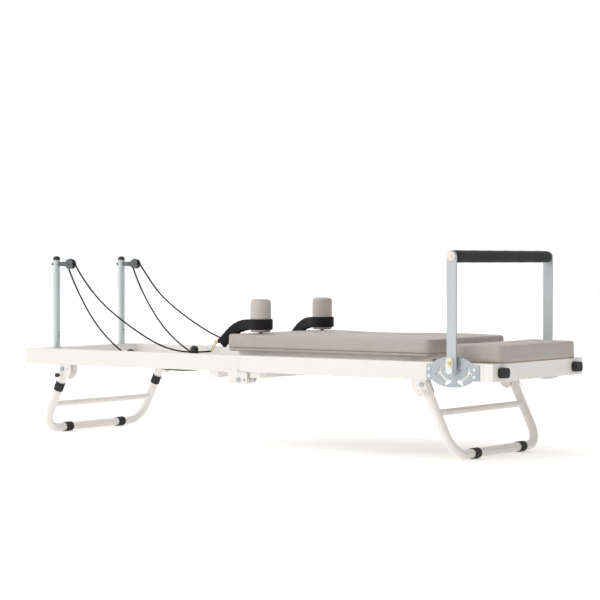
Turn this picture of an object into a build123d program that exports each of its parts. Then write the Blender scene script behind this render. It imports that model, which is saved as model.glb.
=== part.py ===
"""Folding pilates reformer: two hinged frame halves on folding U legs, a sprung carriage, rope posts and a footbar.

Millimetres. X runs along the length, with the foot end and its footbar at +X, Y runs across, Z is up.
The origin is on the floor, under the middle of the frame. "near" is the -Y side and "far" is the +Y side.
Each call to save() writes one sub-part to parts/NAME.step.
"""
from build123d import *
from math import cos, degrees, radians, sin, tan
import os

# ---------- driving dimensions ----------
FRAME_LENGTH = 2350.0
FRAME_WIDTH = 686.0
RAIL_TOP = 368.0          # height of the top of the rails above the floor
RAIL_HEIGHT = 66.0
RAIL_WIDTH = 46.0
RAIL_WALL = 2.5
RAIL_CORNER = 2.2         # rounding along the edges of the rails and end beams
SEAM_GAP = 0.8            # between the two halves of a rail, at the fold
TRACK_WIDTH = 28.0        # ledge on the inside of each rail that the carriage wheels run on
TRACK_THICK = 6.0
FOOT_BEAM_LENGTH = 40.0
HEAD_BEAM_LENGTH = 80.0

FOLD_DROP = 97.0          # fold axis below the rail top
FOLD_BOLT_R = 6.0
FOLD_PIN_X = 29.0

LEG_TUBE_R = 17.5
LEG_SPREAD = 320.0        # leg tube centre from the middle plane
LEG_SPLAY = 26.0          # degrees from upright
LEG_BEND_R = 85.0
LEG_BAND_THICK = 3.0
LEG_PIVOT_DROP = 84.0     # leg axis below the rail top
FOOT_LEG_X = 866.0
HEAD_LEG_X = -962.0
CROSSBAR_R = 12.5
CROSSBAR_ALONG = {1: 119.0, -1: 173.0}   # from the leg axis, along the foot leg and the head leg
LEG_LOCK_R = 30.0         # radius of the lock holes round the leg axis

POST_X = -1114.0
POST_SPREAD = 214.0
POST_R = 15.0
POST_TOP = 383.0          # above the rail top
PULLEY_X = -1031.0
PULLEY_RISE = 365.0       # above the rail top
PULLEY_R = 20.5
ROPE_R = 3.4
ROPE_WRAP_R = 19.8        # rope centre line round a pulley

GUIDE_X = -687.0
GUIDE_TOP = 4.0           # above the rail top

BAR_X = 1010.0            # footbar axis
BAR_DROP = 24.0           # footbar axis below the rail top
BAR_ARM = 419.0           # from the axis to the foam roller
STRUT_SPREAD = 362.0
STRUT_WIDTH = 40.0
STRUT_THICK = 8.0
FOAM_R = 23.0

CARRIAGE_HEAD_X = -114.0
CARRIAGE_FOOT_X = 866.0
PAD_HALF_WIDTH = 290.0
BOARD_BOTTOM = 14.5       # above the rail top
BOARD_TOP = 28.5
PAD_TOP = 84.0
WHEEL_R = 24.0
WHEEL_XS = {"head": 40.0, "foot": 790.0}
SHOULDER_X = 10.0
SHOULDER_SPREAD = 214.0
SHOULDER_R = 41.5

PLATFORM_X = (965.0, 1179.0)

CLEAR = 0.3               # between curved faces of bodies that move past each other
FIT = 0.05                # radial running clearance of a shaft in its hole

HALF_LENGTH = FRAME_LENGTH / 2
HALF_WIDTH = FRAME_WIDTH / 2
RAIL_INNER = HALF_WIDTH - RAIL_WIDTH
RAIL_BOTTOM = RAIL_TOP - RAIL_HEIGHT
TRACK_TOP = RAIL_BOTTOM + 4 + TRACK_THICK
FOLD_Z = RAIL_TOP - FOLD_DROP
LEG_Z = RAIL_TOP - LEG_PIVOT_DROP
BAND_R = LEG_TUBE_R + LEG_BAND_THICK
FOOT_Z = BAND_R           # the leg bands stand on the floor
LEG_LENGTH = (LEG_Z - FOOT_Z) / cos(radians(LEG_SPLAY))
PULLEY_Z = RAIL_TOP + PULLEY_RISE
BAR_Z = RAIL_TOP - BAR_DROP
WHEEL_Z = TRACK_TOP + WHEEL_R
SIDES = {"near": -1, "far": 1}

os.makedirs("parts", exist_ok=True)
written = []
foot_bolts = []           # the fold and leg pivot bolts that the foot half carries


# ---------- helpers ----------
def save(name, *solids):
    """Write one sub-part: one solid, or several separate ones that share a node."""
    shape = solids[0] if len(solids) == 1 else Compound(children=list(solids))
    export_step(shape, f"parts/{name}.step")
    written.append(name)


def box(x0, x1, y0, y1, z0, z1):
    """A box between two corners; each pair may come in either order."""
    place = Pos((x0 + x1) / 2, (y0 + y1) / 2, (z0 + z1) / 2)
    return place * Box(abs(x1 - x0), abs(y1 - y0), abs(z1 - z0))


def rod_x(y, z, x0, x1, r):
    return Pos((x0 + x1) / 2, y, z) * Rot(0, 90, 0) * Cylinder(r, abs(x1 - x0))


def rod_y(x, z, y0, y1, r):
    return Pos(x, (y0 + y1) / 2, z) * Rot(90, 0, 0) * Cylinder(r, abs(y1 - y0))


def rod_z(x, y, z0, z1, r):
    return Pos(x, y, (z0 + z1) / 2) * Cylinder(r, abs(z1 - z0))


def both(shape):
    """A shape on the near side and its mirror on the far side."""
    return [shape, mirror(shape, about=Plane.XZ)]


def plate(sketch, y0, y1):
    """A sketch whose x is X and y is Z, as a plate that faces across the frame from y0 to y1."""
    low, high = sorted((y0, y1))
    place = Plane(origin=(0, high, 0), x_dir=(1, 0, 0), z_dir=(0, -1, 0))
    return extrude(place * sketch, high - low)


def at(sketch, x, z):
    return Pos(x, z) * sketch


def slotted_link(x0, z0, x1, z1, r):
    """A round-ended link between two points, as a sketch."""
    return make_hull((at(Circle(r), x0, z0) + at(Circle(r), x1, z1)).edges())


def cord(points, bend_radii=None):
    """A rope along straight runs joined by tangent arcs, each as large as its two runs allow."""
    radii = []
    for before, here, after in zip(points, points[1:], points[2:]):
        run_in, run_out = Vector(*here) - Vector(*before), Vector(*after) - Vector(*here)
        turn = radians(run_in.get_angle(run_out))
        radii.append(0.45 * min(run_in.length, run_out.length) / tan(turn / 2))
    for index, radius in (bend_radii or {}).items():
        radii[index] = radius
    path = FilletPolyline(*points, radius=radii)
    section = Plane(origin=path @ 0, z_dir=path % 0) * Circle(ROPE_R)
    tube = sweep(section, path=path)
    share = tube.volume / (section.area * path.length)
    print(f"rope {path.length:.0f} mm long, radii {[round(r) for r in radii]}, volume share {share:.4f}")
    return tube


# ---------- frame ----------
def rail(x0, x1):
    """The near rail between two places: a rectangular tube with the wheel track along its inner face."""
    tube = box(x0, x1, -HALF_WIDTH, -RAIL_INNER, RAIL_BOTTOM, RAIL_TOP)
    tube = fillet(tube.edges().filter_by(Axis.X), RAIL_CORNER)
    bore = box(
        x0 - 1, x1 + 1, -HALF_WIDTH + RAIL_WALL, -RAIL_INNER - RAIL_WALL,
        RAIL_BOTTOM + RAIL_WALL, RAIL_TOP - RAIL_WALL,
    )
    ledge = box(x0, x1, -RAIL_INNER, -RAIL_INNER + TRACK_WIDTH, TRACK_TOP - TRACK_THICK, TRACK_TOP)
    return tube - bore + ledge


def hollow_beam(x0, x1):
    beam = box(x0, x1, -HALF_WIDTH, HALF_WIDTH, RAIL_BOTTOM, RAIL_TOP)
    beam = fillet(beam.edges(), RAIL_CORNER)
    bore = box(
        x0 + RAIL_WALL, x1 - RAIL_WALL, -HALF_WIDTH + RAIL_WALL, HALF_WIDTH - RAIL_WALL,
        RAIL_BOTTOM + RAIL_WALL, RAIL_TOP - RAIL_WALL,
    )
    return beam - bore


def foot_frame():
    beam_x = HALF_LENGTH - FOOT_BEAM_LENGTH
    save("foot_rails", *both(rail(SEAM_GAP / 2, beam_x)))
    save("foot_end_beam", hollow_beam(beam_x, HALF_LENGTH))
    cross = box(47, 98, -336, 336, RAIL_BOTTOM - 22, RAIL_BOTTOM - 8)
    for saddle in both(box(47, 98, -336, -300, RAIL_BOTTOM - 8, RAIL_BOTTOM)):
        cross += saddle
    spring_bar = box(880, 904, -RAIL_INNER, RAIL_INNER, RAIL_TOP - 42, RAIL_TOP - 6)
    platform_bar = box(990, 1020, -RAIL_INNER, RAIL_INNER, RAIL_TOP - 28, RAIL_TOP)
    save("foot_cross_tubes", cross, spring_bar, platform_bar)
    bumper = fillet(Box(22, 54, 38).edges().filter_by(Axis.X), 13)
    bumper = fillet(bumper.faces().sort_by(Axis.X)[-1].edges(), 3)
    bumper = Pos(HALF_LENGTH + 11, -281, RAIL_TOP - 34) * bumper
    save("end_bumpers", *both(bumper))


def head_frame():
    beam_x = -HALF_LENGTH + HEAD_BEAM_LENGTH
    save("head_rails", *both(rail(beam_x, -SEAM_GAP / 2)))
    beam = hollow_beam(-HALF_LENGTH, beam_x)
    for y in (-POST_SPREAD, POST_SPREAD):
        beam -= rod_z(POST_X, y, RAIL_BOTTOM + 10, RAIL_TOP + 20, POST_R + FIT)
        beam -= rod_x(y, RAIL_TOP - 22, -HALF_LENGTH - 1, -HALF_LENGTH + 5, 5 + FIT)
    save("head_end_beam", beam)
    cross = box(-146, -118, -336, 336, RAIL_BOTTOM - 26, RAIL_BOTTOM - 8)
    for saddle in both(box(-159, -112, -336, -300, RAIL_BOTTOM - 26, RAIL_BOTTOM)):
        cross += saddle
    guide_bar = box(GUIDE_X - 15, GUIDE_X + 15, -RAIL_INNER, RAIL_INNER, RAIL_BOTTOM, RAIL_BOTTOM + 3.5)
    save("head_cross_tubes", cross, guide_bar)


# ---------- fold between the two halves ----------
def fold_hinges():
    """Ears under the foot half, side plates on the head half, and a bolt through both on each side."""
    ear = slotted_link(0, FOLD_Z, FOLD_PIN_X, FOLD_Z, 16) + at(Rectangle(30, 20), 20, RAIL_BOTTOM - 10)
    ear -= at(Circle(FOLD_BOLT_R + FIT), 0, FOLD_Z) + at(Circle(4 + FIT), FOLD_PIN_X, FOLD_Z)
    ears = []
    for y in (-340, -309):
        ears += both(plate(ear, y, y + 4))
    save("fold_ears", *ears)

    cheek = Pos(-6.5, FOLD_Z + 7.25) * RectangleRounded(97, 46.5, 8)
    flange = at(Rectangle(50, 18), -30, RAIL_BOTTOM + 1)
    holes = at(Circle(FOLD_BOLT_R + FIT), 0, FOLD_Z) + at(Circle(5), FOLD_PIN_X, FOLD_Z)
    side = plate(cheek - holes, -347.4, -343.4) + plate(flange, -347.4, -343)
    save("fold_plates", *both(side))

    bolt = rod_y(0, FOLD_Z, -348, -303, FOLD_BOLT_R)
    bolt += plate(at(Circle(9), 0, FOLD_Z), -352.5, -347.6)
    bolt += plate(at(RegularPolygon(9, 6), 0, FOLD_Z), -304.8, -298)
    foot_bolts.extend(both(bolt))

    for side_name, sign in SIDES.items():
        pin = rod_y(FOLD_PIN_X, FOLD_Z, 342.9, 300, 4) + rod_y(FOLD_PIN_X, FOLD_Z, 304.5, 292, 7)
        pin += rod_y(FOLD_PIN_X, FOLD_Z, 292, 280, 11)
        save(f"fold_pin_{side_name}", pin if sign > 0 else mirror(pin, about=Plane.XZ))


# ---------- legs ----------
def leg_point(pivot_x, sign, along):
    """The point a distance along the leg's centre line below its axis; sign is +1 for the foot-end leg."""
    tilt = radians(LEG_SPLAY)
    return pivot_x + sign * along * sin(tilt), LEG_Z - along * cos(tilt)


def leg(name, pivot_x, sign):
    """A bent U tube with a crossbar, pivot holes and a lock hole in each upright."""
    foot_x, foot_z = leg_point(pivot_x, sign, LEG_LENGTH)
    cross_x, cross_z = leg_point(pivot_x, sign, CROSSBAR_ALONG[sign])
    path = FilletPolyline(
        (pivot_x, -LEG_SPREAD, LEG_Z), (foot_x, -LEG_SPREAD, foot_z),
        (foot_x, LEG_SPREAD, foot_z), (pivot_x, LEG_SPREAD, LEG_Z), radius=LEG_BEND_R,
    )
    section = Plane(origin=path @ 0, z_dir=path % 0) * Circle(LEG_TUBE_R)
    tube = sweep(section, path=path)
    for y in (-LEG_SPREAD, LEG_SPREAD):
        tube += Pos(pivot_x, y, LEG_Z) * Sphere(LEG_TUBE_R)
    tube += rod_y(cross_x, cross_z, -LEG_SPREAD, LEG_SPREAD, CROSSBAR_R)
    lock_x, lock_z = leg_point(pivot_x, sign, LEG_LOCK_R)
    for y in (-LEG_SPREAD, LEG_SPREAD):
        tube -= rod_y(pivot_x, LEG_Z, y - 20, y + 20, 6 + FIT)
        tube -= rod_y(lock_x, lock_z, y, y + (30 if y > 0 else -30), 4.4)
    save(name, tube)


def leg_bands(name, pivot_x, sign, with_upper):
    """Rubber sleeves on the foot bar, which stand on the floor, and on the uprights of the head leg."""
    foot_x, foot_z = leg_point(pivot_x, sign, LEG_LENGTH)
    ring = rod_y(foot_x, foot_z, -193, -151, BAND_R) - rod_y(foot_x, foot_z, -200, -140, LEG_TUBE_R + FIT)
    bands = both(ring)
    if with_upper:
        x, z = leg_point(pivot_x, sign, 84)
        sleeve = Cylinder(BAND_R, 38) - Cylinder(LEG_TUBE_R + FIT, 40)
        sleeve = Pos(x, -LEG_SPREAD, z) * Rot(0, -sign * LEG_SPLAY, 0) * sleeve
        bands += both(sleeve)
    save(name, *bands)


def leg_brackets(name, pivot_x, sign):
    """Two cheek plates for each upright, with a lock hole for the standing leg and one for the folded leg."""
    stand_x, stand_z = leg_point(pivot_x, sign, LEG_LOCK_R)
    fold_x = pivot_x - sign * LEG_LOCK_R
    reach = 47.0
    quarter = at(Circle(reach), pivot_x, LEG_Z) & at(Rectangle(reach, reach), pivot_x - sign * reach / 2, LEG_Z - reach / 2)
    top = at(Rectangle(reach + 15, RAIL_BOTTOM - LEG_Z), pivot_x - sign * (reach - 15) / 2, (RAIL_BOTTOM + LEG_Z) / 2)
    cheek = quarter + top + slotted_link(pivot_x, LEG_Z, stand_x, stand_z, 15)
    cheek -= at(Circle(6 + FIT), pivot_x, LEG_Z)
    cheek -= at(Circle(4 + FIT), fold_x, LEG_Z) + at(Circle(4 + FIT), stand_x, stand_z)
    barrel = rod_y(stand_x, stand_z, -342.2, -350, 7) - rod_y(stand_x, stand_z, -340, -352, 4 + FIT)
    save(name, *both(plate(cheek, -342.2, -338.2) + barrel), *both(plate(cheek, -301.8, -297.8)))


def leg_bolts(pivot_x):
    bolt = rod_y(pivot_x, LEG_Z, -345, -294, 6)
    bolt += plate(at(Circle(9.5), pivot_x, LEG_Z), -347.5, -342.4)
    bolt += plate(at(RegularPolygon(9.5, 6), pivot_x, LEG_Z), -297.6, -291)
    return both(bolt)


def leg_pins(end, pivot_x, sign):
    """Sprung pull pins on the outer cheeks, one body each: a ring on the foot leg, a knob on the head leg."""
    x, z = leg_point(pivot_x, sign, LEG_LOCK_R)
    for side_name, side in SIDES.items():
        pin = rod_y(x, z, 338, 352, 4) + rod_y(x, z, 350.4, 356, 6)
        if end == "foot":
            pin += rod_y(x, z, 356, 363, 4)
            pin += Pos(x, 360, z - 11) * Rot(90, 0, 0) * Torus(12, 1.8)
        else:
            pin += rod_y(x, z, 356, 366, 9)
        save(f"{end}_leg_pin_{side_name}", pin if side > 0 else mirror(pin, about=Plane.XZ))


def legs():
    for end, pivot_x, sign in (("foot", FOOT_LEG_X, 1), ("head", HEAD_LEG_X, -1)):
        leg(f"{end}_leg", pivot_x, sign)
        leg_bands(f"{end}_leg_bands", pivot_x, sign, with_upper=end == "head")
        leg_brackets(f"{end}_leg_brackets", pivot_x, sign)
        leg_pins(end, pivot_x, sign)
    save("foot_pivot_bolts", *foot_bolts, *leg_bolts(FOOT_LEG_X))
    save("head_pivot_bolts", *leg_bolts(HEAD_LEG_X))


# ---------- rope posts, pulleys, guides and ropes ----------
def posts():
    tubes, caps = [], []
    for y in (-POST_SPREAD, POST_SPREAD):
        tube = rod_z(POST_X, y, RAIL_BOTTOM + 10, RAIL_TOP + POST_TOP, POST_R)
        tube -= rod_z(POST_X, y, RAIL_BOTTOM + 9, RAIL_TOP + POST_TOP + 1, POST_R - 1.5)
        tube -= rod_x(y, PULLEY_Z, POST_X - 20, POST_X + 20, 4 + FIT)
        ring = rod_z(POST_X, y, RAIL_TOP, RAIL_TOP + 4, POST_R + 3) - rod_z(POST_X, y, RAIL_TOP - 1, RAIL_TOP + 5, POST_R - 1)
        tube += ring
        for rise in (50, 66):
            tube -= rod_x(y, RAIL_TOP + rise, POST_X, POST_X + 20, 4)
        tubes.append(tube)
        cap = rod_z(POST_X, y, RAIL_TOP + POST_TOP, RAIL_TOP + POST_TOP + 2, POST_R + 0.8)
        dome = Pos(POST_X, y, RAIL_TOP + POST_TOP + 2) * Sphere(POST_R + 0.8)
        cap += dome & box(POST_X - 20, POST_X + 20, y - 20, y + 20, RAIL_TOP + POST_TOP, RAIL_TOP + 399)
        cap = cap + rod_z(POST_X, y, RAIL_TOP + POST_TOP - 12, RAIL_TOP + POST_TOP, POST_R - 1.5 - FIT)
        cap -= rod_z(POST_X, y, RAIL_TOP + POST_TOP - 13, RAIL_TOP + POST_TOP, POST_R - 4)
        caps.append(cap)
    save("posts", *tubes)
    save("post_caps", *caps)


def post_knobs():
    """Clamp screws through the end beam's outer wall; each tip stops short of its post."""
    z = RAIL_TOP - 22
    for side_name, side in SIDES.items():
        y = side * POST_SPREAD
        screw = rod_x(y, z, POST_X - POST_R - CLEAR, -HALF_LENGTH - 17, 5)
        head = rod_x(y, z, -HALF_LENGTH - 17, -HALF_LENGTH - 38, 18)
        for turn in range(6):
            angle = radians(60 * turn)
            notch = rod_x(y + 20.5 * cos(angle), z + 20.5 * sin(angle), -HALF_LENGTH - 16, -HALF_LENGTH - 39, 5)
            head -= notch
        neck = rod_x(y, z, -HALF_LENGTH - 1, -HALF_LENGTH - 17, 9)
        save(f"post_knob_{side_name}", screw + head + neck)


def pulleys():
    for side_name, side in SIDES.items():
        y = side * POST_SPREAD
        shank = rod_x(y, PULLEY_Z, POST_X - 28, PULLEY_X - 36, 4)
        nut = rod_x(y, PULLEY_Z, POST_X - POST_R - 6, POST_X - POST_R - 0.5, 7.5)
        neck = rod_x(y, PULLEY_Z, POST_X + POST_R + 0.5, PULLEY_X - 33, 9)
        yoke = box(PULLEY_X - 38, PULLEY_X - 27, y - 12.5, y + 12.5, PULLEY_Z - 10, PULLEY_Z + 10)
        cheek = at(Circle(21), PULLEY_X, PULLEY_Z) + at(Rectangle(30, 20), PULLEY_X - 23, PULLEY_Z)
        axle = rod_y(PULLEY_X, PULLEY_Z, y - 15, y + 15, 4)
        block = shank + nut + neck + yoke + axle
        for offset in (-12.5, 9.5):
            block += plate(cheek, y + offset, y + offset + 3)
        save(f"pulley_block_{side_name}", block)

        wheel = rod_y(PULLEY_X, PULLEY_Z, y - 8.5, y + 8.5, PULLEY_R)
        groove = Pos(PULLEY_X, y, PULLEY_Z) * Rot(90, 0, 0) * Torus(ROPE_WRAP_R, ROPE_R + 0.8)
        wheel -= groove
        wheel -= rod_y(PULLEY_X, PULLEY_Z, y - 20, y + 20, 4 + FIT)
        save(f"pulley_wheel_{side_name}", wheel)


def rope_guides():
    """Domed blocks on the cross bar, each with a slot that its rope runs through."""
    guides = []
    for y in (-POST_SPREAD, POST_SPREAD):
        low = RAIL_BOTTOM + 3.5
        body = rod_z(GUIDE_X, y, low, RAIL_TOP + GUIDE_TOP - 12, 18)
        dome = Pos(GUIDE_X, y, RAIL_TOP + GUIDE_TOP - 19.5) * Sphere(19.5)
        body += dome & box(GUIDE_X - 20, GUIDE_X + 20, y - 20, y + 20, RAIL_TOP + GUIDE_TOP - 12, RAIL_TOP + 20)
        body -= box(GUIDE_X - 30, GUIDE_X + 30, y - 6, y + 6, low + 4, RAIL_TOP - 6)
        guides.append(body)
    save("rope_guides", *guides)


ROPE_LOOP_NEAR = [
    (-1031, -214, 384.8), (-1019, -214, 384.8), (-985, -214.5, 336), (-945, -217, 290.5), (-895, -221, 243.5),
    (-840, -227, 201), (-778, -234, 162), (-708, -242, 124.5), (-632, -251, 88), (-556, -261, 55.5),
    (-480, -272, 29), (-405, -283, 12), (-330, -296, 5), (-258, -302, 3.9), (-184, -297, 10),
]
ROPE_LOOP_FAR = [
    (-1031, 214, 384.8), (-1021, 214, 384.8), (-975, 215, 329), (-926, 216, 269), (-872, 217, 218),
    (-811, 219, 174), (-744, 222, 133), (-674, 227, 93), (-602, 236, 56), (-530, 250, 28),
    (-458, 267, 12), (-386, 285, 5), (-318, 300, 3.7), (-252, 303, 4), (-198, 297, 9),
]
ROPE_GUIDE_NEAR = [
    (-1031, -214, 384.8), (-1050.8, -214, 384.8), (-1050.8, -214, 359.5), (-1001, -214, 266),
    (-940, -214, 174), (-878, -214, 100), (-808, -214, 39), (-740, -214, -6), (-672, -214, -40),
    (-598, -212, -62), (-518, -208, -75), (-434, -203, -79), (-350, -198, -76), (-268, -193, -68),
    (-190, -189, -55), (-120, -185, -38), (-60, -181, -22),
]
ROPE_GUIDE_FAR = [
    (-1031, 214, 384.8), (-1050.8, 214, 384.8), (-1050.8, 214, 359.5), (-1002, 214, 260),
    (-938, 214, 166), (-872, 214, 88), (-800, 214, 29), (-734, 214, -12), (-668, 214, -42),
    (-594, 212, -62), (-514, 208, -74), (-430, 203, -78), (-346, 198, -75), (-264, 193, -67),
    (-188, 189, -54), (-119, 185, -37), (-60, 181, -22),
]


def ropes():
    """Route points are X, Y and the height above the rail top."""
    wrap = ROPE_WRAP_R - 0.4
    for name, route, bends in (
        ("rope_loop_near", ROPE_LOOP_NEAR, {0: wrap}),
        ("rope_loop_far", ROPE_LOOP_FAR, {0: wrap}),
        ("rope_guide_near", ROPE_GUIDE_NEAR, {0: wrap, 1: wrap}),
        ("rope_guide_far", ROPE_GUIDE_FAR, {0: wrap, 1: wrap}),
    ):
        save(name, cord([(x, y, RAIL_TOP + rise) for x, y, rise in route], bends))


# ---------- footbar ----------
def quadrant_plates():
    """Index plates on the outside of the rails: an oval with two wings, four bolts and two forked slots."""
    wings = at(RectangleRounded(230, 60, 6), BAR_X - 6, RAIL_TOP - 35)
    oval = at(Ellipse(105, 58), BAR_X - 6, RAIL_TOP - 33)
    outline = wings + oval
    holes = [(BAR_X, BAR_Z, 10 + FIT)]
    for turn in (90, 52, 128, 14, 166):
        x, z = BAR_X + 24 * cos(radians(turn)), BAR_Z + 24 * sin(radians(turn))
        holes.append((x, z, 4.3))
    for x, z, r in holes:
        outline -= at(Circle(r), x, z)
    for side in (-1, 1):
        outline -= quadrant_slot(side)
    save("quadrant_plates", *both(plate(outline, -347, -343)))
    bolts = []
    for x in (-107, 90):
        for z in (-23, -49):
            bolt = rod_y(BAR_X + x, RAIL_TOP + z, -351, -347, 6)
            bolts += both(bolt)
    save("quadrant_bolts", *bolts)


def quadrant_slot(side):
    """A curved slot round the pivot that ends in a fork, as a sketch; side is +1 towards the foot end."""
    centre = Pos(BAR_X, BAR_Z)
    points = [(side * 64 * cos(radians(turn)), -46 * sin(radians(turn))) for turn in (8, 26, 44, 60, 74)]
    slot = Sketch()
    for (x0, z0), (x1, z1) in zip(points, points[1:]):
        slot += centre * slotted_link(x0, z0, x1, z1, 6.0)
    x, z = points[0]
    slot += centre * slotted_link(x, z, x - side * 3, z + 11, 5.0)
    slot += centre * slotted_link(x, z, x + side * 10, z - 12, 5.0)
    x, z = points[-1]
    return slot + centre * slotted_link(x, z, x + side * 18, z - 10, 5.0)


def footbar():
    top_z = BAR_Z + BAR_ARM
    strut = slotted_link(BAR_X, BAR_Z, BAR_X, top_z, STRUT_WIDTH / 2)
    strut -= at(Circle(10 + FIT), BAR_X, BAR_Z)
    strut -= at(Circle(4 + FIT), BAR_X, BAR_Z + 24)
    bar = rod_y(BAR_X, top_z, -STRUT_SPREAD, STRUT_SPREAD, 14)
    bar -= rod_y(BAR_X, top_z, -STRUT_SPREAD + 6, STRUT_SPREAD - 6, 12)
    for blade in both(plate(strut, -STRUT_SPREAD - STRUT_THICK / 2, -STRUT_SPREAD + STRUT_THICK / 2)):
        bar += blade
    save("footbar_frame", bar)
    foam = rod_y(BAR_X, top_z, -357, 357, FOAM_R)
    foam = fillet(foam.edges().filter_by(GeomType.CIRCLE), 5)
    foam -= rod_y(BAR_X, top_z, -360, 360, 14 + FIT)
    save("footbar_foam", foam)
    cap = rod_y(BAR_X, top_z, -366, -370, 17) + rod_y(BAR_X, top_z, -370, -374, 6)
    save("footbar_caps", *both(cap))

    bolt = rod_y(BAR_X, BAR_Z, -343, -378, 10) + rod_y(BAR_X, BAR_Z, -376.5, -380, 12)
    spacer = rod_y(BAR_X, BAR_Z, -347, -357.7, 16) - rod_y(BAR_X, BAR_Z, -340, -360, 10 + FIT)
    save("footbar_bolts", *both(bolt), *both(spacer))

    lever = slotted_link(BAR_X - 4, BAR_Z - 2, BAR_X - 4, BAR_Z + 32, 14)
    lever -= at(Circle(10 + FIT), BAR_X, BAR_Z)
    lever -= at(Circle(4 + FIT), BAR_X, BAR_Z + 24)
    save("footbar_latches", *both(plate(lever, -376, -366)))
    for side_name, side in SIDES.items():
        pin = rod_y(BAR_X, BAR_Z + 24, 347.4, 378, 4) + rod_y(BAR_X, BAR_Z + 24, 376.4, 384, 6.5)
        save(f"latch_pin_{side_name}", pin if side > 0 else mirror(pin, about=Plane.XZ))


# ---------- carriage and pads ----------
def rounded_slab(x0, x1, half_width, z0, z1, corner, edge):
    slab = box(x0, x1, -half_width, half_width, z0, z1)
    slab = fillet(slab.edges().filter_by(Axis.Z), corner)
    if edge:
        slab = fillet(slab.faces().sort_by(Axis.Z)[-1].edges(), edge)
    return slab


def carriage():
    sides, rollers = [], []
    member = box(-60, 850, -264, -240, RAIL_TOP - 25, RAIL_TOP + BOARD_BOTTOM - 0.3)
    member -= box(-58, 848, -262, -242, RAIL_TOP - 23, RAIL_TOP + BOARD_BOTTOM - 2.3)
    for x in WHEEL_XS.values():
        member += rod_y(x, WHEEL_Z, -292, -262, 5)
        member += box(x - 16, x + 16, -266, -262, WHEEL_Z - 12, RAIL_TOP - 20)
        roller_x = x + (46 if x < 400 else -46)
        member += box(roller_x - 14, roller_x + 14, -290, -263, RAIL_TOP - 13, RAIL_TOP - 9)
        member += rod_z(roller_x, -281.5, RAIL_TOP - 42, RAIL_TOP - 11, 4)
        roller = rod_z(roller_x, -281.5, RAIL_TOP - 40, RAIL_TOP - 14, 15.2)
        roller -= rod_z(roller_x, -281.5, RAIL_TOP - 50, RAIL_TOP, 4 + FIT)
        rollers += both(roller)
    sides = both(member)
    save("carriage_side_rails", *sides)
    save("side_rollers", *rollers)
    high = RAIL_TOP + BOARD_BOTTOM - 0.3
    bars = [box(x, x + 30, -240, 240, high - 8, high) for x in (-60, 200, 818)]
    hook_bar = box(455, 485, -240, 240, RAIL_TOP - 30, high)
    bars.append(hook_bar)
    for y in (-181, 181):
        bars[0] += box(-58.5, -54.5, y - 9, y + 9, RAIL_TOP - 33, high - 8)
    save("carriage_cross_bars", *bars)
    for end, x in WHEEL_XS.items():
        wheel = rod_y(x, WHEEL_Z, -290, -272, WHEEL_R - 0.05) - rod_y(x, WHEEL_Z, -300, -260, 5 + FIT)
        save(f"carriage_wheels_{end}", *both(wheel))
    board = rounded_slab(
        CARRIAGE_HEAD_X + 4, CARRIAGE_FOOT_X - 4, PAD_HALF_WIDTH - 4,
        RAIL_TOP + BOARD_BOTTOM, RAIL_TOP + BOARD_TOP, 38, 0,
    )
    pad = rounded_slab(
        CARRIAGE_HEAD_X, CARRIAGE_FOOT_X, PAD_HALF_WIDTH, RAIL_TOP + BOARD_TOP + 0.3, RAIL_TOP + PAD_TOP, 42, 10,
    )
    for y in (-SHOULDER_SPREAD, SHOULDER_SPREAD):
        board -= rod_z(SHOULDER_X, y, RAIL_TOP, RAIL_TOP + 100, 8 + FIT)
        pad -= rod_z(SHOULDER_X, y, RAIL_TOP, RAIL_TOP + 100, 10)
    save("carriage_board", board)
    save("carriage_pad", pad)
    springs = []
    for y in (-150, -50, 50, 150):
        coil = rod_x(y, RAIL_TOP - 22, 500, 866, 11)
        hooks = rod_x(y, RAIL_TOP - 22, 485.5, 500, 2) + rod_x(y, RAIL_TOP - 22, 866, 879.5, 2)
        springs.append(coil + hooks)
    save("springs", *springs)


def shoulder_blocks():
    for side_name, side in SIDES.items():
        y = side * SHOULDER_SPREAD
        block = rod_z(SHOULDER_X, y, RAIL_TOP + 90, RAIL_TOP + 222, SHOULDER_R)
        block = fillet(block.faces().sort_by(Axis.Z)[-1].edges(), 8)
        block += rod_z(SHOULDER_X, y, RAIL_TOP + 16, RAIL_TOP + 90, 8)
        save(f"shoulder_block_{side_name}", block)


def hand_loops():
    """Soft loops round the shoulder blocks, each with a tail that hangs over the pad's head end, and the rope clips."""
    for side_name, side in SIDES.items():
        y = side * SHOULDER_SPREAD
        tail_y = y + side * 22
        low = RAIL_TOP + 100
        outer = make_hull((Pos(SHOULDER_X, y) * Circle(47) + Pos(-98, tail_y) * Circle(14)).edges())
        inner = make_hull((Pos(SHOULDER_X, y) * Circle(43) + Pos(-92, tail_y) * Circle(8)).edges())
        band = Pos(0, 0, low) * extrude(outer - inner, 43)
        outline = [(-102, 0), (-102, 43), (-144, 8), (-174, -20), (-193, -41), (-176, -70), (-148, -58), (-121, -28), (-117, -6)]
        tail = plate(make_face(Polyline(*[(x, low + z) for x, z in outline], close=True)), tail_y - 11, tail_y + 11)
        save(f"hand_loop_{side_name}", band + tail)
    clips = []
    for side, (x, y, rise) in ((-1, ROPE_LOOP_NEAR[-1]), (1, ROPE_LOOP_FAR[-1])):
        start = Vector(x - 1, y - side * 8, RAIL_TOP + rise + 5)
        end = Vector(-202, side * (SHOULDER_SPREAD + 24), RAIL_TOP + 50)
        run = end - start
        link = make_hull((Circle(6) + Pos(run.length, 0) * Circle(6)).edges())
        link -= make_hull((Circle(3.5) + Pos(run.length, 0) * Circle(3.5)).edges())
        across = run.cross(Vector(1, 0, 0)).normalized()
        clips.append(extrude(Plane(origin=start, x_dir=run.normalized(), z_dir=across) * link, 3.5))
    save("rope_clips", *clips)


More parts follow.
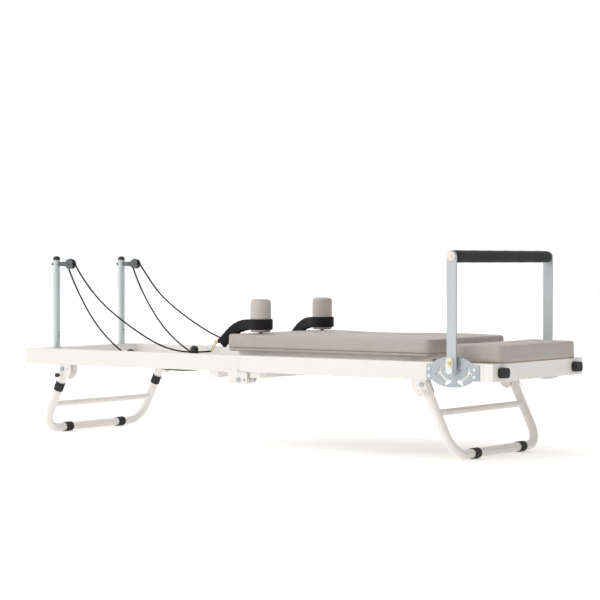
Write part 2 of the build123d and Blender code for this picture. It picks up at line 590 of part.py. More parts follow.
def platform():
    x0, x1 = PLATFORM_X
    save("platform_board", box(x0 + 8, x1 - 8, -282, 282, RAIL_TOP, RAIL_TOP + 3.4))
    save("platform_pad", rounded_slab(x0, x1, PAD_HALF_WIDTH, RAIL_TOP + 3.7, RAIL_TOP + 68, 46, 10))


foot_frame()
head_frame()
fold_hinges()
legs()
posts()
post_knobs()
pulleys()
rope_guides()
ropes()
quadrant_plates()
footbar()
carriage()
shoulder_blocks()
hand_loops()
platform()
print(len(written), "sub-parts")
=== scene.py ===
"""Looks for the folding pilates reformer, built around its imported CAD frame.

Metres. +X is the foot end with the footbar, +Y the far side, +Z up, and the floor is at z 0.
"""
from math import cos, pi, radians, sin

import bmesh
import bpy
from mathutils import Matrix, Vector


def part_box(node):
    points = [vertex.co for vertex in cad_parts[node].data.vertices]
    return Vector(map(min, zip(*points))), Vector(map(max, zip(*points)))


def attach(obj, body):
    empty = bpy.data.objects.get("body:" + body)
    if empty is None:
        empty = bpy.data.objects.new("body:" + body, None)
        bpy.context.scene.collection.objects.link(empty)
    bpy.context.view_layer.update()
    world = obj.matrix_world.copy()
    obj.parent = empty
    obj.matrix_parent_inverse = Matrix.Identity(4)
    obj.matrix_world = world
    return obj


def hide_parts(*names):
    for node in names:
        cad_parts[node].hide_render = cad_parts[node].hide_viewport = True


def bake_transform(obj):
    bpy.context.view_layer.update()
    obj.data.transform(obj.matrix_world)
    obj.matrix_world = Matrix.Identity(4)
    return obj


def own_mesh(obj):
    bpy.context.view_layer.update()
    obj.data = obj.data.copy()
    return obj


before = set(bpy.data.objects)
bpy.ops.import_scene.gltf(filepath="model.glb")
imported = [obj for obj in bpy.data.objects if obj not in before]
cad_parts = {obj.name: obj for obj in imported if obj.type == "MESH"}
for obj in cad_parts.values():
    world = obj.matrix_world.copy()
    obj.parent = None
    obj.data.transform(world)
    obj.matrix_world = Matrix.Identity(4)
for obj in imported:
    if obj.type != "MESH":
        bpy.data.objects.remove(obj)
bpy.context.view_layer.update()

SIDES = {"near": -1, "far": 1}
SHOULDER_X = 0.010        # middle of a shoulder block
SHOULDER_SPREAD = 0.214   # from the middle plane
STRAP_THICK = 0.0085
STRAP_TALL = 0.043
STRAP_RISE = 0.1215       # middle of the strap above the rail top, where it goes round a block
PUFF_FRAMES = 12          # length of each cushion's cloth simulation
FLOOR_GLOW = 0.27         # keeps the shadows on the floor pale
BACKDROP_LIGHT = (0.72, 0.12)   # how strongly the backdrop lights from the head end and from the foot end
RAIL_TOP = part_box("foot_rails")[1].z
ROPE_RADIUS = 0.0034


# ---------- the camera ----------
def make_camera():
    camera = bpy.data.objects.new("camera", bpy.data.cameras.new("camera"))
    bpy.context.collection.objects.link(camera)
    camera.location = (4.9013, -6.6251, 0.7456)
    camera.rotation_euler = (radians(90 - 1.1184), 0, radians(36.2116))
    camera.data.sensor_width = 36
    camera.data.lens = 119.52
    camera.data.clip_end = 60
    bpy.context.scene.camera = camera


# ---------- material nodes ----------
def new_material(name, colour, rough, metal=0.0, coat=0.0, sheen=0.0, specular=0.5):
    made = bpy.data.materials.new(name)
    made.use_nodes = True
    shader = made.node_tree.nodes["Principled BSDF"]
    shader.inputs["Base Color"].default_value = (*colour, 1)
    shader.inputs["Roughness"].default_value = rough
    shader.inputs["Metallic"].default_value = metal
    shader.inputs["Coat Weight"].default_value = coat
    shader.inputs["Sheen Weight"].default_value = sheen
    shader.inputs["Specular IOR Level"].default_value = specular
    return made


def add_node(made, kind, **values):
    """A node with some of its inputs set: names give the inputs, with spaces written as underscores."""
    node = made.node_tree.nodes.new(kind)
    for name, value in values.items():
        socket = node.inputs[name.replace("_", " ")]
        if isinstance(value, bpy.types.NodeSocket):
            made.node_tree.links.new(value, socket)
        else:
            socket.default_value = value
    return node


def place_in(made, stretch=(1, 1, 1), output="Object"):
    """Coordinates in metres in the piece's own space, or its UVs, stretched along each axis."""
    coordinates = add_node(made, "ShaderNodeTexCoord").outputs[output]
    return add_node(made, "ShaderNodeMapping", Vector=coordinates, Scale=stretch).outputs["Vector"]


def noise(made, place, scale, detail=2.0, rough=0.5):
    node = add_node(
        made, "ShaderNodeTexNoise", Vector=place, Scale=scale, Detail=detail, Roughness=rough
    )
    return node.outputs["Fac"]


def cells(made, place, scale):
    return add_node(made, "ShaderNodeTexVoronoi", Vector=place, Scale=scale).outputs["Distance"]


def remap(made, value, low, high):
    """From low to high over the middle of a noise's range."""
    node = add_node(made, "ShaderNodeMapRange", Value=value)
    node.inputs["From Min"].default_value = 0.3
    node.inputs["From Max"].default_value = 0.7
    node.inputs["To Min"].default_value = low
    node.inputs["To Max"].default_value = high
    return node.outputs["Result"]


def tone(made, value, dark, light, start=0.3, end=0.7):
    """The base colour runs from dark to light as value goes from start to end."""
    ramp = add_node(made, "ShaderNodeValToRGB", Fac=value)
    ramp.color_ramp.elements[0].position = start
    ramp.color_ramp.elements[0].color = (*dark, 1)
    ramp.color_ramp.elements[1].position = end
    ramp.color_ramp.elements[1].color = (*light, 1)
    shader = made.node_tree.nodes["Principled BSDF"]
    made.node_tree.links.new(ramp.outputs["Color"], shader.inputs["Base Color"])


def roughen(made, value, low, high):
    shader = made.node_tree.nodes["Principled BSDF"]
    made.node_tree.links.new(remap(made, value, low, high), shader.inputs["Roughness"])


def relief(made, *layers):
    """Bump from several (value, height in metres) layers, one over the other."""
    normal = None
    for value, height in layers:
        bump = add_node(made, "ShaderNodeBump", Height=value, Distance=height, Strength=1.0)
        if normal is not None:
            made.node_tree.links.new(normal, bump.inputs["Normal"])
        normal = bump.outputs["Normal"]
    made.node_tree.links.new(normal, made.node_tree.nodes["Principled BSDF"].inputs["Normal"])


def scaled(colour, factor):
    return tuple(min(1.0, channel * factor) for channel in colour)


# ---------- materials ----------
def powder_coat():
    colour = (0.86, 0.83, 0.785)
    made = new_material("powder_coat", colour, 0.42, coat=0.12)
    place = place_in(made)
    tone(made, noise(made, place, 4, 3), scaled(colour, 0.975), colour)
    roughen(made, noise(made, place, 30, 3), 0.36, 0.5)
    relief(made, (noise(made, place, 650, 1), 0.00006))
    return made


def vinyl(name, colour):
    """Soft upholstery vinyl: a fine pebbled grain, a little uneven in tone and gloss."""
    made = new_material(name, colour, 0.5, sheen=0.08, specular=0.4)
    place = place_in(made)
    tone(made, noise(made, place, 14, 4), scaled(colour, 0.94), scaled(colour, 1.04))
    roughen(made, noise(made, place, 60, 3), 0.44, 0.6)
    relief(
        made,
        (noise(made, place, 28, 2), 0.0007),
        (cells(made, place, 620), 0.00022),
        (noise(made, place, 1500, 2), 0.00008),
    )
    return made


def foam():
    made = new_material("foam", (0.02, 0.02, 0.022), 0.85, sheen=0.08, specular=0.25)
    place = place_in(made)
    tone(made, cells(made, place, 420), (0.012, 0.012, 0.0135), (0.028, 0.028, 0.03), 0.1, 0.6)
    roughen(made, noise(made, place, 300, 2), 0.78, 0.95)
    relief(made, (noise(made, place, 30, 2), 0.0006), (cells(made, place, 700), 0.0003))
    return made


def moulded(name, colour, rough=0.5, grain=0.00008):
    """Moulded plastic or rubber with a spark-eroded grain."""
    made = new_material(name, colour, rough)
    place = place_in(made)
    tone(made, noise(made, place, 25, 3), scaled(colour, 0.85), scaled(colour, 1.12))
    roughen(made, noise(made, place, 90, 3), rough - 0.07, rough + 0.1)
    relief(made, (noise(made, place, 1300, 2), grain))
    return made


def brushed(name, colour, rough, stretch, metal=0.9):
    """Brushed or drawn metal, with fine lines along the axis that stretch makes longest."""
    made = new_material(name, colour, rough, metal=metal)
    lines = noise(made, place_in(made, stretch), 90, 4, 0.65)
    tone(made, lines, scaled(colour, 0.95), scaled(colour, 1.04))
    roughen(made, lines, rough - 0.04, rough + 0.06)
    relief(made, (lines, 0.00002))
    return made


def zinc_plate():
    """Passivated zinc: faint blue-grey clouds and a fine grain."""
    colour = (0.45, 0.49, 0.515)
    made = new_material("zinc_plate", colour, 0.4, metal=0.45)
    place = place_in(made)
    tone(made, noise(made, place, 45, 4), scaled(colour, 0.94), scaled(colour, 1.06))
    roughen(made, noise(made, place, 160, 3), 0.3, 0.46)
    relief(made, (noise(made, place, 1100, 2), 0.00005))
    return made


def braid(name, colour, along, around, height):
    """Two sets of crossing ridges in the piece's UVs, as on a braided rope or a woven strap, with painted
    shade in the grooves between them and painted light on their tops.
    """
    made = new_material(name, colour, 0.75, sheen=0.05, specular=0.2)
    uv = place_in(made, (along, around, 1), "UV")
    ridges = []
    for turn in (radians(45), radians(-45)):
        turned = add_node(made, "ShaderNodeMapping", Vector=uv, Rotation=(0, 0, turn)).outputs["Vector"]
        wave = add_node(made, "ShaderNodeTexWave", Vector=turned, Scale=1.0)
        ridges.append(wave.outputs["Fac"])
    woven = made.node_tree.nodes.new("ShaderNodeMath")
    woven.operation = "MAXIMUM"
    for socket, ridge in zip(woven.inputs, ridges):
        made.node_tree.links.new(ridge, socket)
    fuzz = noise(made, place_in(made), 1500, 2)
    # Painted shade and light: the base colour is darker in the grooves between the ridges and lighter on
    # the ridge tops.
    tone(made, woven.outputs["Value"], scaled(colour, 0.55), scaled(colour, 1.4), 0.1, 0.95)
    roughen(made, fuzz, 0.68, 0.85)
    relief(made, (woven.outputs["Value"], height), (fuzz, 0.00006))
    return made


def plywood():
    """Layers of birch ply that show on the cut edge, with a long grain on the faces."""
    made = new_material("plywood", (0.5, 0.38, 0.25), 0.6)
    grain = noise(made, place_in(made, (1, 14, 60)), 16, 4, 0.6)
    tone(made, grain, (0.38, 0.27, 0.17), (0.6, 0.47, 0.32))
    relief(made, (grain, 0.0001))
    return made


def make_materials():
    return {
        "paint": powder_coat(),
        "vinyl": vinyl("vinyl", (0.47, 0.43, 0.395)),
        "block_vinyl": vinyl("block_vinyl", (0.56, 0.51, 0.465)),
        "foam": foam(),
        "zinc": zinc_plate(),
        "strut": brushed("strut_steel", (0.53, 0.575, 0.58), 0.45, (30, 30, 1.2), metal=0.45),
        "post": brushed("post_steel", (0.66, 0.71, 0.73), 0.3, (30, 30, 1.0), metal=0.6),
        "spring": brushed("spring_steel", (0.5, 0.51, 0.53), 0.3, (1, 8, 8), metal=1.0),
        "bright": brushed("bright_zinc", (0.80, 0.84, 0.87), 0.35, (3, 3, 3), metal=0.4),
        "dark_steel": brushed("pulley_steel", (0.14, 0.15, 0.16), 0.35, (20, 20, 20), metal=0.8),
        "brass": brushed("brass", (0.72, 0.57, 0.31), 0.28, (3, 3, 3), metal=0.95),
        "cream": moulded("cream_plastic", (0.86, 0.79, 0.68), 0.42),
        "black": moulded("black_plastic", (0.018, 0.018, 0.02), 0.42),
        "grey": moulded("grey_plastic", (0.2, 0.205, 0.21), 0.45),
        "wheel": moulded("wheel_plastic", (0.05, 0.05, 0.055), 0.5),
        "rubber": moulded("rubber", (0.014, 0.014, 0.016), 0.62, 0.00012),
        "rope": braid("braided_rope", (0.007, 0.007, 0.008), 190, 4, 0.0004),
        "webbing": braid("webbing", (0.012, 0.012, 0.013), 260, 26, 0.00025),
        "plywood": plywood(),
    }


# ---------- which material each CAD node takes ----------
NODE_LOOKS = {
    "paint": [
        "foot_rails", "foot_end_beam", "foot_cross_tubes", "fold_ears", "foot_leg_brackets", "head_rails",
        "head_end_beam", "head_cross_tubes", "fold_plates", "head_leg_brackets", "foot_leg", "head_leg",
        "carriage_side_rails", "carriage_cross_bars",
    ],
    "zinc": ["foot_pivot_bolts", "head_pivot_bolts", "quadrant_plates", "fold_pin_near", "fold_pin_far"],
    "bright": ["quadrant_bolts", "footbar_bolts"],
    "dark_steel": ["pulley_block_near", "pulley_block_far"],
    "strut": ["footbar_frame"],
    "post": ["posts"],
    "cream": ["footbar_caps", "footbar_latches", "foot_leg_pin_near", "foot_leg_pin_far"],
    "rubber": ["end_bumpers", "foot_leg_bands", "head_leg_bands"],
    "black": [
        "post_caps", "rope_guides", "pulley_wheel_near", "pulley_wheel_far", "head_leg_pin_near",
        "head_leg_pin_far",
    ],
    "grey": ["post_knob_near", "post_knob_far"],
    "wheel": ["side_rollers", "carriage_wheels_head", "carriage_wheels_foot"],
    "brass": ["latch_pin_near", "latch_pin_far", "rope_clips"],
    "plywood": ["platform_board"],
}


def dress_nodes():
    for look, names in NODE_LOOKS.items():
        for name in names:
            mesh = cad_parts[name].data
            mesh.materials.clear()
            mesh.materials.append(LOOKS[look])


# ---------- mesh helpers ----------
def mesh_object(name, points, faces, look):
    mesh = bpy.data.meshes.new(name)
    mesh.from_pydata([tuple(point) for point in points], [], faces)
    mesh.update()
    mesh.materials.append(LOOKS[look])
    piece = bpy.data.objects.new(name, mesh)
    bpy.context.collection.objects.link(piece)
    mesh.polygons.foreach_set("use_smooth", [True] * len(mesh.polygons))
    return piece


def skin(name, rings, look, closed=False):
    """A surface over rings with equally many points: capped at both ends, or closed into a loop."""
    count = len(rings[0])
    points = [point for ring in rings for point in ring]
    faces = []
    for level in range(len(rings) - (0 if closed else 1)):
        low, high = level * count, (level + 1) % len(rings) * count
        for step in range(count):
            following = (step + 1) % count
            faces.append((low + step, low + following, high + following, high + step))
    if not closed:
        faces.append(tuple(reversed(range(count))))
        faces.append(tuple(range(len(points) - count, len(points))))
    return mesh_object(name, points, faces, look)


def face_outwards(piece):
    shape = bmesh.new()
    shape.from_mesh(piece.data)
    bmesh.ops.recalc_face_normals(shape, faces=shape.faces)
    shape.to_mesh(piece.data)
    shape.free()


def lathe(name, profile, look, centre=(0, 0, 0), axis="Z", count=64):
    """A turned piece; profile is (radius, height) from one end of the axis to the other."""
    turn = Matrix.Rotation(-pi / 2, 4, "X") if axis == "Y" else Matrix()
    rings = []
    for radius, height in profile:
        ring = []
        for step in range(count):
            angle = 2 * pi * step / count
            place = turn @ Vector((radius * cos(angle), radius * sin(angle), height))
            ring.append(Vector(centre) + place)
        rings.append(ring)
    piece = skin(name, rings, look)
    face_outwards(piece)
    return piece


def tube(name, points, radius, look, sides=14, closed=False, flatten=1.0):
    """A tube along points, with UVs in metres along it and turns around it."""
    frames = []
    points = [Vector(point) for point in points]
    count = len(points)
    previous = None
    for index, point in enumerate(points):
        before = points[index - 1] if closed or index else point
        after = points[(index + 1) % count] if closed or index < count - 1 else point
        ahead = (after - before).normalized()
        if previous is None:
            previous = Vector((0, 0, 1)) if abs(ahead.z) < 0.9 else Vector((1, 0, 0))
        up = (previous - ahead * previous.dot(ahead)).normalized()
        frames.append((up, ahead.cross(up)))
        previous = up
    rings = []
    for point, (up, out) in zip(points, frames):
        ring = []
        for step in range(sides):
            angle = 2 * pi * step / sides
            ring.append(point + up * (radius * sin(angle)) + out * (radius * flatten * cos(angle)))
        rings.append(ring)
    piece = skin(name, rings, look, closed)
    run = [0.0]
    for here, following in zip(points, points[1:]):
        run.append(run[-1] + (following - here).length)
    layer = piece.data.uv_layers.new(name="along")
    for polygon in piece.data.polygons:
        for loop in polygon.loop_indices:
            index = piece.data.loops[loop].vertex_index
            layer.data[loop].uv = (run[index // sides], index % sides / sides)
    face_outwards(piece)
    return piece


def line_through(route):
    """Points along the smooth line that a rope takes between its route's points."""
    curve = bpy.data.curves.new("route", "CURVE")
    curve.dimensions = "3D"
    curve.resolution_u = 10
    spline = curve.splines.new("NURBS")
    spline.points.add(len(route) - 1)
    for point, place in zip(spline.points, route):
        point.co = (*place, 1)
    spline.order_u = 3
    spline.use_endpoint_u = True
    holder = bpy.data.objects.new("route", curve)
    bpy.context.collection.objects.link(holder)
    line = bpy.data.meshes.new_from_object(holder)
    points = [vertex.co.copy() for vertex in line.vertices]
    bpy.data.objects.remove(holder)
    bpy.data.meshes.remove(line)
    return points


# ---------- ropes: X, Y and the height above the rail top ----------
LOOP_NEAR = [
    (-1.031, -0.214, 0.3848), (-1.019, -0.214, 0.3848), (-0.985, -0.2145, 0.336), (-0.945, -0.217, 0.2905),
    (-0.895, -0.221, 0.2435), (-0.840, -0.227, 0.201), (-0.778, -0.234, 0.162), (-0.708, -0.242, 0.1245),
    (-0.632, -0.251, 0.088), (-0.556, -0.261, 0.0555), (-0.480, -0.272, 0.029), (-0.405, -0.283, 0.012),
    (-0.330, -0.296, 0.005), (-0.258, -0.302, 0.0039), (-0.184, -0.297, 0.010),
]
LOOP_FAR = [
    (-1.031, 0.214, 0.3848), (-1.021, 0.214, 0.3848), (-0.975, 0.215, 0.329), (-0.926, 0.216, 0.269),
    (-0.872, 0.217, 0.218), (-0.811, 0.219, 0.174), (-0.744, 0.222, 0.133), (-0.674, 0.227, 0.093),
    (-0.602, 0.236, 0.056), (-0.530, 0.250, 0.028), (-0.458, 0.267, 0.012), (-0.386, 0.285, 0.005),
    (-0.318, 0.300, 0.0037), (-0.252, 0.303, 0.004), (-0.198, 0.297, 0.009),
]
GUIDE_NEAR = [
    (-1.031, -0.214, 0.3848), (-1.0508, -0.214, 0.3848), (-1.0508, -0.214, 0.3595), (-1.001, -0.214, 0.266),
    (-0.940, -0.214, 0.174), (-0.878, -0.214, 0.100), (-0.808, -0.214, 0.039), (-0.740, -0.214, -0.006),
    (-0.672, -0.214, -0.040), (-0.598, -0.212, -0.062), (-0.518, -0.208, -0.075), (-0.434, -0.203, -0.079),
    (-0.350, -0.198, -0.076), (-0.268, -0.193, -0.068), (-0.190, -0.189, -0.055), (-0.120, -0.185, -0.038),
    (-0.060, -0.181, -0.022),
]
GUIDE_FAR = [
    (-1.031, 0.214, 0.3848), (-1.0508, 0.214, 0.3848), (-1.0508, 0.214, 0.3595), (-1.002, 0.214, 0.260),
    (-0.938, 0.214, 0.166), (-0.872, 0.214, 0.088), (-0.800, 0.214, 0.029), (-0.734, 0.214, -0.012),
    (-0.668, 0.214, -0.042), (-0.594, 0.212, -0.062), (-0.514, 0.208, -0.074), (-0.430, 0.203, -0.078),
    (-0.346, 0.198, -0.075), (-0.264, 0.193, -0.067), (-0.188, 0.189, -0.054), (-0.119, 0.185, -0.037),
    (-0.060, 0.181, -0.022),
]
ROPES = {
    "rope_loop_near": (LOOP_NEAR, 0.972), "rope_loop_far": (LOOP_FAR, 0.967),
    "rope_guide_near": (GUIDE_NEAR, 1.222), "rope_guide_far": (GUIDE_FAR, 1.224),
}


def ropes():
    for node, (route, length) in ROPES.items():
        path = line_through([(x, y, RAIL_TOP + rise) for x, y, rise in route])
        rope = tube(node.replace("rope_", "cord_"), path, ROPE_RADIUS, "rope")
        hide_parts(node)
        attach(rope, "head_frame")
        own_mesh(rope)


# ---------- pads ----------
def rounded_outline(centre, half_x, half_y, corner, straight=64, across=40, bend=12):
    """Points round a rectangle with rounded corners; the count is the same whatever the size."""
    corner = min(corner, half_x - 0.001, half_y - 0.001)
    points = []
    corners = ((1, 1, 0), (-1, 1, 90), (-1, -1, 180), (1, -1, 270))
    for index, (sx, sy, start) in enumerate(corners):
        cx, cy = sx * (half_x - corner), sy * (half_y - corner)
        for step in range(bend + 1):
            angle = radians(start + 90 * step / bend)
            points.append((centre[0] + cx + corner * cos(angle), centre[1] + cy + corner * sin(angle)))
        nx, ny, _ = corners[(index + 1) % 4]
        tx, ty = nx * (half_x - corner), ny * (half_y - corner)
        end_angle = radians(start + 90)
        x0, y0 = cx + corner * cos(end_angle), cy + corner * sin(end_angle)
        x1, y1 = tx + corner * cos(end_angle), ty + corner * sin(end_angle)
        count = straight if index % 2 == 0 else across
        for step in range(1, count):
            share = step / count
            points.append((centre[0] + x0 + (x1 - x0) * share, centre[1] + y0 + (y1 - y0) * share))
    return points


def pad_rings(low, high, corner, edge, crown):
    """Rings from the underside, up the sides, over the rounded edge and in to the middle."""
    centre = ((low.x + high.x) / 2, (low.y + high.y) / 2)
    half_x, half_y = (high.x - low.x) / 2, (high.y - low.y) / 2
    reach = min(half_x, half_y)
    levels = []
    for inset in (reach * 0.96, reach * 0.6, reach * 0.25, 0.02, 0.006):
        levels.append((inset, low.z))
    levels += [(0.0022, low.z + 0.0012), (0.0008, low.z + 0.0045)]
    side_top = high.z - edge
    start = levels[-1][1]
    for share in (0.3, 0.65, 1.0):
        levels.append((0.0, start + (side_top - start) * share))
    for step in range(1, 9):
        angle = radians(90 * step / 8)
        levels.append((edge * (1 - cos(angle)), side_top + edge * sin(angle)))
    inset = edge
    while inset < reach * 0.92:
        inset += 0.006 + inset * 0.1
        levels.append((min(inset, reach * 0.97), high.z))
    rings = []
    for inset, z in levels:
        outline = rounded_outline(centre, half_x - inset, half_y - inset, max(corner - inset, 0.004))
        ring = []
        for x, y in outline:
            rise = 0.0
            if z > side_top + edge * 0.5:
                across = 1 - abs((x - centre[0]) / half_x) ** 5
                along = 1 - abs((y - centre[1]) / half_y) ** 4
                rise = crown * max(0.0, across) * max(0.0, along)
            ring.append(Vector((x, y, z + rise)))
        rings.append(ring)
    return rings


def puff(piece, held_below, pressure, cap):
    """Cloth simulation with air pressure inside; no point moves further than about cap."""
    rest = [vertex.co.copy() for vertex in piece.data.vertices]
    group = piece.vertex_groups.new(name="held")
    group.add([i for i, point in enumerate(rest) if point.z < held_below], 1.0, "REPLACE")
    cloth = piece.modifiers.new("cloth", "CLOTH")
    cloth.settings.vertex_group_mass = "held"
    cloth.settings.use_pressure = True
    cloth.settings.uniform_pressure_force = pressure
    cloth.settings.effector_weights.gravity = 0
    cloth.settings.quality = 4
    cloth.settings.tension_stiffness = 25
    cloth.settings.compression_stiffness = 25
    cloth.settings.bending_stiffness = 4
    cloth.point_cache.frame_end = PUFF_FRAMES
    scene = bpy.context.scene
    for step in range(1, PUFF_FRAMES + 1):
        scene.frame_set(step)
    depsgraph = bpy.context.evaluated_depsgraph_get()
    moved = [vertex.co.copy() for vertex in piece.evaluated_get(depsgraph).data.vertices]
    piece.modifiers.remove(cloth)
    piece.vertex_groups.clear()
    scene.frame_set(1)
    for vertex, start, end in zip(piece.data.vertices, rest, moved):
        shift = end - start
        vertex.co = start + shift * (cap / (cap + shift.length))
    piece.data.update()


def pad(name, node, body, corner, edge, crown, soft=True):
    low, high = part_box(node)
    piece = skin(name, pad_rings(low, high, corner, edge, crown), "vinyl")
    face_outwards(piece)
    if soft:
        puff(piece, low.z + 0.006, 3.0, 0.004)
    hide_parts(node)
    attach(piece, body)


def pads():
    pad("carriage_cushion", "carriage_pad", "carriage", 0.032, 0.010, 0.003)
    pad("carriage_base_cover", "carriage_board", "carriage", 0.030, 0.003, 0.0, soft=False)
    pad("platform_cushion", "platform_pad", "foot_frame", 0.024, 0.010, 0.003)


def shoulder_blocks():
    for side, sign in SIDES.items():
        node = f"shoulder_block_{side}"
        low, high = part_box(node)
        x, y = (low.x + high.x) / 2, sign * SHOULDER_SPREAD
        radius = (high.x - low.x) / 2
        bottom = RAIL_TOP + 0.090
        profile = [(0.004, bottom), (radius - 0.012, bottom), (radius - 0.004, bottom + 0.0012)]
        profile += [(radius - 0.001, bottom + 0.005), (radius, bottom + 0.014)]
        for share in (0.25, 0.5, 0.75, 0.92):
            bulge = 0.0008 * sin(pi * share)
            profile.append((radius + bulge - 0.0006 * share, bottom + (high.z - bottom) * share))
        profile += [(radius - 0.0008, high.z - 0.006), (radius - 0.0028, high.z - 0.0022)]
        profile += [(radius - 0.0065, high.z), (radius - 0.012, high.z + 0.0012)]
        profile += [(radius * 0.5, high.z + 0.003)]
        profile += [(0.004, high.z + 0.0034)]
        block = lathe(f"shoulder_cushion_{side}", profile, "block_vinyl", centre=(x, y, 0))
        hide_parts(node)
        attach(block, f"shoulder_{side}")
        pin = [(0.0005, low.z), (0.0065, low.z), (0.008, low.z + 0.0015), (0.008, bottom + 0.002)]
        pin += [(0.0005, bottom + 0.002)]
        post = lathe(f"shoulder_pin_{side}", pin, "zinc", centre=(x, y, 0), count=28)
        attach(post, f"shoulder_{side}")


def footbar_roller():
    low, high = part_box("footbar_foam")
    radius = (high.z - low.z) / 2
    end = high.y
    profile = [(0.0145, -end + 0.001), (radius - 0.007, -end), (radius - 0.0025, -end + 0.0018)]
    profile += [(radius - 0.0004, -end + 0.006)]
    for step in range(1, 40):
        share = step / 40
        profile.append((radius + 0.0003 * sin(share * 37), -end + 0.006 + (2 * end - 0.012) * share))
    profile += [(radius - 0.0004, end - 0.006), (radius - 0.0025, end - 0.0018), (radius - 0.007, end)]
    profile += [(0.0145, end - 0.001)]
    centre = ((low.x + high.x) / 2, 0, (low.z + high.z) / 2)
    roller = lathe("footbar_roller", profile, "foam", centre=centre, axis="Y")
    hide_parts("footbar_foam")
    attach(roller, "footbar")


# ---------- hand loops ----------
def strap_section(centre, across, up, thick, tall):
    """A flat strap's section with rounded edges."""
    ring = []
    for step in range(16):
        angle = 2 * pi * step / 16
        out = cos(angle)
        rise = sin(angle)
        out = (abs(out) ** 0.55) * (1 if out > 0 else -1)
        rise = (abs(rise) ** 0.35) * (1 if rise > 0 else -1)
        ring.append(centre + across * (out * thick / 2) + up * (rise * tall / 2))
    return ring


def add_strap_uv(piece, rings):
    layer = piece.data.uv_layers.new(name="along")
    count = len(rings[0])
    middles = [sum(ring, Vector()) / count for ring in rings]
    run = [0.0]
    for here, following in zip(middles, middles[1:]):
        run.append(run[-1] + (following - here).length)
    for polygon in piece.data.polygons:
        for loop in polygon.loop_indices:
            index = piece.data.loops[loop].vertex_index
            layer.data[loop].uv = (run[index // count], index % count / count)


def hand_loops():
    """A strap round each shoulder block; its ends meet in a tail that hangs over the pad's head end."""
    wrap = 0.0455
    tail = [
        (-0.172, 0.040, 0.0045), (-0.156, 0.056, 0.0045), (-0.135, 0.078, 0.005), (-0.110, 0.100, 0.007),
        (-0.080, 0.114, 0.013), (-0.050, 0.120, 0.023),
    ]
    for side, sign in SIDES.items():
        centre = Vector((SHOULDER_X, sign * SHOULDER_SPREAD, 0))
        ends = {}
        for turn in (-1, 1):
            ends[turn] = []
            for x, rise, gap in tail:
                share = (centre.x - x) / (centre.x - tail[0][0])
                ends[turn].append((x, centre.y + sign * 0.024 * share + turn * gap, RAIL_TOP + rise))
        loop = ends[-1]
        for step in range(15):
            angle = radians(-125 + 250 * step / 14)
            x, y = centre.x + wrap * cos(angle), centre.y + wrap * sin(angle)
            loop.append((x, y, RAIL_TOP + STRAP_RISE))
        path = line_through(loop + ends[1][::-1])
        rings = []
        for index, point in enumerate(path):
            before, after = path[max(index - 1, 0)], path[min(index + 1, len(path) - 1)]
            ahead = (after - before).normalized()
            across = Vector((ahead.y, -ahead.x, 0)).normalized()
            if abs(across.y) < 1e-6:
                across = Vector((0, 1, 0))
            up = across.cross(ahead).normalized()
            if up.z < 0:
                up = -up
            puffed = 1 + 0.02 * sin(index * 0.9)
            rings.append(strap_section(point, across, up, STRAP_THICK * puffed, STRAP_TALL * puffed))
        strap = skin(f"hand_strap_{side}", rings, "webbing")
        add_strap_uv(strap, rings)
        face_outwards(strap)
        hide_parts(f"hand_loop_{side}")
        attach(strap, "carriage")
        tip = Vector((-0.186, centre.y + sign * 0.024, RAIL_TOP + 0.050))
        strap_fittings(side, tip)


def strap_fittings(side, tip):
    """A webbing tab sewn into the tail's end and the ring that the rope's clip hooks into."""
    tab = tube(
        f"strap_tab_{side}",
        [tip + Vector((x, 0, z)) for x, z in ((0.022, -0.002), (0.006, 0.0), (-0.006, 0.001))],
        0.0085, "webbing", sides=12, flatten=0.35,
    )
    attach(tab, "carriage")
    middle = tip + Vector((-0.012, 0, 0))
    ring = []
    for step in range(28):
        angle = 2 * pi * step / 28
        ring.append(middle + Vector((0.011 * cos(angle), 0.0, 0.011 * sin(angle))))
    loop_ring = tube(f"strap_ring_{side}", ring, 0.0018, "cream", sides=8, closed=True)
    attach(loop_ring, "carriage")


# ---------- springs ----------
def springs():
    """Four close-wound springs from the carriage's hook bar to the spring bar of the foot half."""
    low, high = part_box("springs")
    coil_start, coil_end = low.x + 0.0145, high.x - 0.0135
    height = (low.z + high.z) / 2
    coil_radius, wire = 0.0094, 0.0014
    pitch = 0.0042
    turns = round((coil_end - coil_start) / pitch)
    pieces = []
    for index, y in enumerate((-0.150, -0.050, 0.050, 0.150)):
        points = [(low.x - 0.0005, y, height), (coil_start - 0.004, y, height)]
        for step in range(turns * 10 + 1):
            angle = 2 * pi * step / 10
            x = coil_start + (coil_end - coil_start) * step / (turns * 10)
            points.append((x, y + coil_radius * sin(angle), height + coil_radius * cos(angle)))
        points += [(coil_end + 0.004, y, height), (high.x + 0.0005, y, height)]
        pieces.append(tube(f"coil_{index}", points, wire, "spring", sides=6))
    bpy.ops.object.select_all(action="DESELECT")
    for piece in pieces:
        piece.select_set(True)
    bpy.context.view_layer.objects.active = pieces[0]
    bpy.ops.object.join()
    coils = pieces[0]
    coils.name = "spring_coils"
    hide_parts("springs")
    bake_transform(coils)


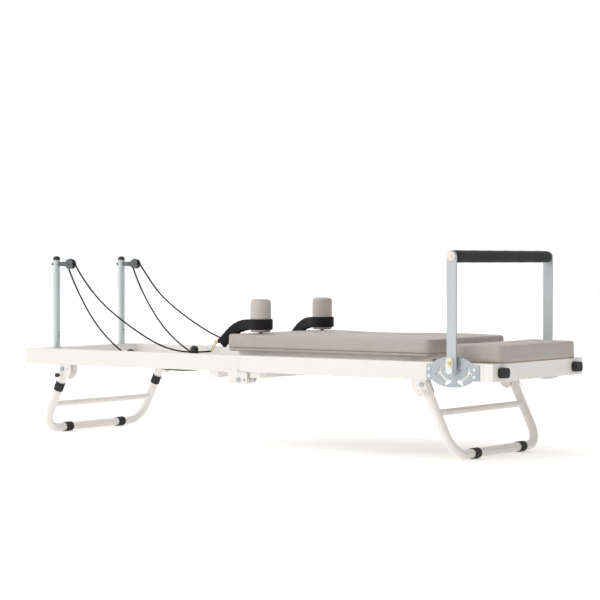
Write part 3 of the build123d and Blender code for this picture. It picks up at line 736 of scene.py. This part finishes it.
# ---------- stage ----------
def make_world():
    """A white backdrop that lights the object less than it shows, and least from the foot end."""
    world = bpy.data.worlds.new("studio")
    world.use_nodes = True
    tree = world.node_tree
    shown = tree.nodes["Background"]
    shown.inputs["Color"].default_value = (1, 1, 1, 1)
    shown.inputs["Strength"].default_value = 1.0
    lighting = tree.nodes.new("ShaderNodeBackground")
    lighting.inputs["Color"].default_value = (1.0, 0.995, 0.985, 1)
    direction = tree.nodes.new("ShaderNodeTexCoord")
    split = tree.nodes.new("ShaderNodeSeparateXYZ")
    fade = tree.nodes.new("ShaderNodeMapRange")
    settings = {"From Min": -1.0, "From Max": 1.0, "To Min": BACKDROP_LIGHT[0], "To Max": BACKDROP_LIGHT[1]}
    for socket, value in settings.items():
        fade.inputs[socket].default_value = value
    tree.links.new(direction.outputs["Generated"], split.inputs[0])
    tree.links.new(split.outputs["X"], fade.inputs["Value"])
    tree.links.new(fade.outputs["Result"], lighting.inputs["Strength"])
    seen = tree.nodes.new("ShaderNodeLightPath")
    pick = tree.nodes.new("ShaderNodeMixShader")
    tree.links.new(seen.outputs["Is Camera Ray"], pick.inputs[0])
    tree.links.new(lighting.outputs[0], pick.inputs[1])
    tree.links.new(shown.outputs[0], pick.inputs[2])
    tree.links.new(pick.outputs[0], tree.nodes["World Output"].inputs["Surface"])
    bpy.context.scene.world = world


def stage():
    """A plain pale floor that runs out to the edge of the view, and soft light from the camera's left."""
    bpy.ops.mesh.primitive_plane_add(size=60, location=(0, 0, -0.0005))
    floor = bpy.context.object
    floor.name = "floor"
    ground = new_material("floor_white", (0.93, 0.93, 0.925), 0.9, specular=0.1)
    shader = ground.node_tree.nodes["Principled BSDF"]
    shader.inputs["Emission Color"].default_value = (1, 1, 1, 1)
    shader.inputs["Emission Strength"].default_value = FLOOR_GLOW
    tone(ground, noise(ground, place_in(ground), 3, 2), (0.925, 0.925, 0.92), (0.935, 0.935, 0.93))
    floor.data.materials.append(ground)
    make_world()
    for name, direction, spread, power in (
        ("key", (-0.5, -1.0, 0.8), 70, 0.8),
        ("top", (-0.15, 0.1, 1.0), 140, 1.35),
    ):
        lamp = bpy.data.lights.new(name, "SUN")
        lamp.energy = power
        lamp.angle = radians(spread)
        light = bpy.data.objects.new(name, lamp)
        bpy.context.collection.objects.link(light)
        light.rotation_euler = Vector(direction).to_track_quat("Z", "Y").to_euler()
    bpy.context.scene.view_settings.view_transform = "Standard"


LOOKS = make_materials()
make_camera()
ropes()
dress_nodes()
pads()
shoulder_blocks()
footbar_roller()
hand_loops()
springs()
stage()
